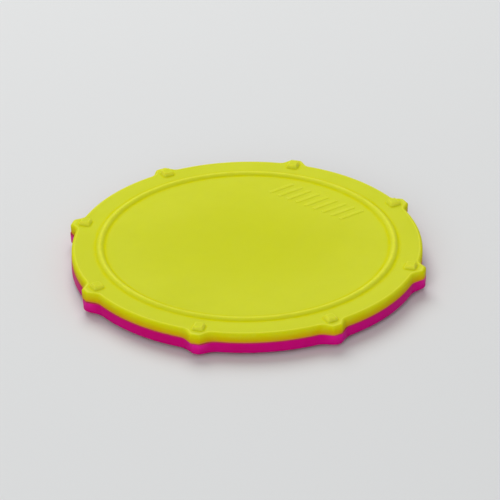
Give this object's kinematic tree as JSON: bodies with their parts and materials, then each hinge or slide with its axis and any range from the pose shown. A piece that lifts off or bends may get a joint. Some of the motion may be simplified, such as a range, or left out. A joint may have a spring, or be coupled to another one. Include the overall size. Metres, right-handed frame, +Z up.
{
  "type": "practice pad",
  "caption": "Round two-sided rubber practice pad shaped like a snare drum, with a bead ring round each playing face, rounded lugs and square bosses on its rim.",
  "frame": {"origin": "under the pad's centre, on the surface that it stands on (the tips of the lower bosses)", "axes": "+Z up out of the yellow playing face and along the pad's thickness; +X through the middle of one lug and its boss"},
  "size_m": [0.2032, 0.2032, 0.0166],
  "materials": {
    "yellow_rubber": "smooth satin moulded rubber, bright greenish yellow",
    "magenta_rubber": "smooth satin moulded rubber, magenta",
    "core_board": "bare fibreboard",
    "bond_film": "translucent amber adhesive film",
    "rim_adhesive": "cured flexible adhesive"
  },
  "bodies": {
    "root": {"top_pad": "yellow_rubber", "bottom_pad": "magenta_rubber", "core_plate": "core_board", "upper_bond_film": "bond_film", "lower_bond_film": "bond_film", "rim_bond_ring": "rim_adhesive"}
  },
  "joints": []
}
